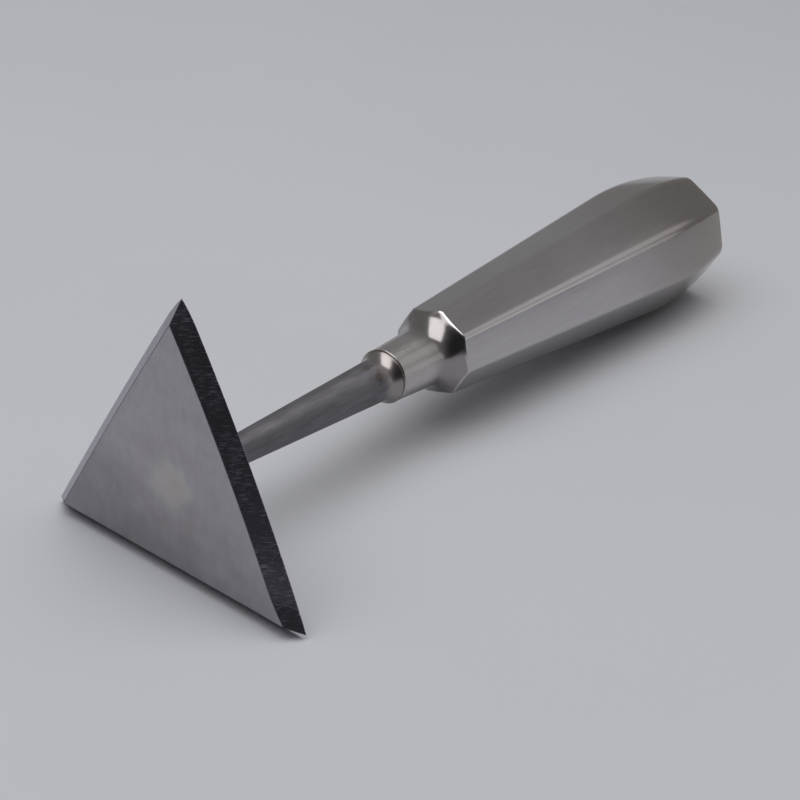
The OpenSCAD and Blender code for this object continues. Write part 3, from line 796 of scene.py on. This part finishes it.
def satinStainless():
    # stainless sheet, pressed, linished and tumbled dull: soft reflections, faint lines along the grip
    # (drawn 0.3 mm wide, because the belt's real lines would not show)
    p = satinSteel
    material, tree = newMaterial("satin_stainless")
    coords = addNode(tree, "TexCoord", {}, "Object")
    lineRun = addNode(tree, "Mapping", {"Vector": coords, "Scale": perMetre(p["line"])})
    lines = addNode(tree, "TexNoise", {"Vector": lineRun, "Scale": 1, "Detail": 4}, "Fac")
    cloudRun = addNode(tree, "Mapping", {"Vector": coords, "Scale": perMetre(p["cloud"])})
    cloud = addNode(tree, "TexNoise", {"Vector": cloudRun, "Scale": 1, "Detail": 4}, "Fac")
    dark, pale = map(linear, p["colours"])
    steel = addNode(tree, "Mix", {0: cloud, 6: dark, 7: pale}, 2, **rgba)
    hatch = addNode(tree, "MapRange", {"Value": lines, **mostNoise,
                                       "To Min": p["hatch"][0], "To Max": p["hatch"][1]})
    lined = addNode(tree, "Mix", {0: 1.0, 6: steel, 7: hatch}, 2, **times)
    alongBench = addNode(tree, "SeparateXYZ", {0: coords}, "Y")
    # painted shade: the grip grows darker and warmer towards the butt
    buttShade = addNode(tree, "MapRange", {"Value": alongBench, "From Min": p["buttShadeRun"][0] * mm,
                                      "From Max": p["buttShadeRun"][1] * mm}, **smooth)
    shadedGrip = addNode(tree, "Mix", {0: buttShade, 6: lined, 7: linear(p["buttShade"])}, 2, **times)
    sheen = addNode(tree, "MapRange", {"Value": cloud, **mostNoise,
                                       "To Min": p["roughness"][0], "To Max": p["roughness"][1]})
    relief = addNode(tree, "Bump", {"Height": lines, "Distance": p["lineDepth"] * mm,
                                    "Strength": p["lineRelief"]})
    shader = addNode(tree, "BsdfPrincipled", {"Base Color": shadedGrip, "Metallic": 1, "Roughness": sheen,
                                              "Normal": relief})
    addNode(tree, "OutputMaterial", {"Surface": shader})
    return material


def buffedStainless():
    # the neck and flare, turned and buffed on a mop: clear reflections, streaked and duller along the neck
    # (streaks drawn 0.5 mm wide, because the real ones would not show)
    p = buffedSteel
    material, tree = newMaterial("buffed_stainless")
    coords = addNode(tree, "TexCoord", {}, "Object")
    lineRun = addNode(tree, "Mapping", {"Vector": coords, "Scale": perMetre(p["line"])})
    lines = addNode(tree, "TexNoise", {"Vector": lineRun, "Scale": 1, "Detail": 3}, "Fac")
    cloudRun = addNode(tree, "Mapping", {"Vector": coords, "Scale": perMetre(p["cloud"])})
    cloud = addNode(tree, "TexNoise", {"Vector": cloudRun, "Scale": 1, "Detail": 3}, "Fac")
    alongBench = addNode(tree, "SeparateXYZ", {0: coords}, "Y")
    onNeck = addNode(tree, "MapRange", {"Value": alongBench, "From Min": p["neckEnd"][0] * mm,
                                        "From Max": p["neckEnd"][1] * mm, "To Min": 1, "To Max": 0}, **smooth)
    buffed = addNode(tree, "Mix", {0: onNeck, 6: linear(p["flare"]), 7: linear(p["neck"])}, 2, **rgba)
    mottle = addNode(tree, "MapRange", {"Value": cloud, **mostNoise,
                                        "To Min": p["mottle"][0], "To Max": p["mottle"][1]})
    steel = addNode(tree, "Mix", {0: 1.0, 6: buffed, 7: mottle}, 2, **times)
    grain = addNode(tree, "MapRange", {"Value": lines, **mostNoise,
                                       "To Min": p["roughness"][0], "To Max": p["roughness"][1]})
    sheen = addNode(tree, "Math", {0: onNeck, 1: p["neckDull"], 2: grain}, operation="MULTIPLY_ADD")
    relief = addNode(tree, "Bump", {"Height": lines, "Distance": p["lineDepth"] * mm,
                                    "Strength": p["lineRelief"]})
    shader = addNode(tree, "BsdfPrincipled", {"Base Color": steel, "Metallic": 1, "Roughness": sheen,
                                              "Normal": relief})
    addNode(tree, "OutputMaterial", {"Surface": shader})
    return material


def linishedSeam():
    # weld ground flush and linished: a shade darker, with fine marks across the seam
    # (drawn 0.2 mm wide, because the real ones would not show)
    p = seamSteel
    material, tree = newMaterial("linished_seam")
    coords = addNode(tree, "TexCoord", {}, "Object")
    markRun = addNode(tree, "Mapping", {"Vector": coords, "Scale": perMetre(p["mark"])})
    marks = addNode(tree, "TexNoise", {"Vector": markRun, "Scale": 1, "Detail": 3}, "Fac")
    dark, pale = map(linear, p["colours"])
    steel = addNode(tree, "Mix", {0: marks, 6: dark, 7: pale}, 2, **rgba)
    sheen = addNode(tree, "MapRange", {"Value": marks, **mostNoise,
                                       "To Min": p["roughness"][0], "To Max": p["roughness"][1]})
    relief = addNode(tree, "Bump", {"Height": marks, "Distance": p["depth"] * mm, "Strength": p["relief"]})
    shader = addNode(tree, "BsdfPrincipled", {"Base Color": steel, "Metallic": 1, "Roughness": sheen,
                                              "Normal": relief})
    addNode(tree, "OutputMaterial", {"Surface": shader})
    return material


def cutAlongSeam(piece, offset, keepBeyond):
    # cuts the shell parallel to the seam and closes the cut
    makeActive(piece)
    bpy.ops.object.mode_set(mode="EDIT")
    bpy.ops.mesh.select_all(action="SELECT")
    bpy.ops.mesh.bisect(plane_co=seamNormal * offset, plane_no=seamNormal, use_fill=True,
                        clear_inner=keepBeyond, clear_outer=not keepBeyond)
    bpy.ops.object.mode_set(mode="OBJECT")


def copyPiece(piece, name):
    twin = piece.copy()
    twin.data = piece.data.copy()
    twin.name = name
    scene.collection.objects.link(twin)
    return twin


def makeHandle():
    h = handle
    inside = turnOutline("handle_inside", handleOutline(h["wall"]), handleMesh["steps"])
    pressFlats(inside, h["wall"])
    shell = turnOutline("handle_shell", handleOutline(0), handleMesh["steps"])
    pressFlats(shell, 0)
    makeActive(shell)
    inside.select_set(True)
    bpy.ops.object.join()
    bpy.ops.object.mode_set(mode="EDIT")
    closeMesh()
    for f in shell.data.polygons:  # the flats are satin, the turned neck and flare are buffed
        angle = math.atan2(f.center.y, f.center.x)
        onFlat = turnedRadius(f.center.z) > pressedRadius(angle, f.center.z, 0)
        f.material_index = 0 if onFlat else 1

    gap = h["seam"] / 2
    right = copyPiece(shell, "grip_half_right")
    cutAlongSeam(right, gap, True)
    left = copyPiece(shell, "grip_half_left")
    cutAlongSeam(left, -gap, False)
    seam = shell
    seam.name = "grip_seam"
    cutAlongSeam(seam, gap, False)
    cutAlongSeam(seam, -gap, True)
    for v in seam.data.vertices:  # the weld stands a hair proud, but not at the cuts or near the axis
        level = abs(seamNormal.dot(v.co)) / gap
        radius = math.hypot(v.co.x, v.co.y)
        onNeck = v.co.z < h["flareStart"] and radius > h["bore"] + h["skin"]
        outer = radius > flatAt(v.co.z) - h["skin"] or onNeck
        if outer and level < 0.99 and radius > 1:
            lift = h["seamCrown"] * (1 - level * level) / radius
            v.co.x *= 1 + lift
            v.co.y *= 1 + lift
    for f in seam.data.polygons:
        f.material_index = 0
    steels = [satinStainless(), buffedStainless()]
    finishPiece(right, ["handle_half_right"], steels, h["smoothAngle"])
    finishPiece(left, ["handle_half_left"], steels, h["smoothAngle"])
    finishPiece(seam, ["seam_weld"], [linishedSeam()], h["smoothAngle"])


makeHandle()
print("handle made")

# braze: the CAD ring stays as it is and takes its material
brazeMetal = {"colours": ("#4c4640", "#6e655a"), "cloud": (0.6, 0.6, 0.6), "roughness": (0.4, 0.6)}


def dullBraze():
    # brazing filler in the groove at the mouth, oxidised: brown-grey and rough
    p = brazeMetal
    material, tree = newMaterial("oxidised_braze")
    coords = addNode(tree, "TexCoord", {}, "Object")
    cloudRun = addNode(tree, "Mapping", {"Vector": coords, "Scale": perMetre(p["cloud"])})
    cloud = addNode(tree, "TexNoise", {"Vector": cloudRun, "Scale": 1, "Detail": 4}, "Fac")
    dark, pale = map(linear, p["colours"])
    oxide = addNode(tree, "Mix", {0: cloud, 6: dark, 7: pale}, 2, **rgba)
    rough = addNode(tree, "MapRange", {"Value": cloud, **mostNoise,
                                       "To Min": p["roughness"][0], "To Max": p["roughness"][1]})
    shader = addNode(tree, "BsdfPrincipled", {"Base Color": oxide, "Metallic": 1, "Roughness": rough})
    addNode(tree, "OutputMaterial", {"Surface": shader})
    return material


braze = frame["nodes"]["neck_braze"]
braze.data.materials.clear()
braze.data.materials.append(dullBraze())
print("braze finished")
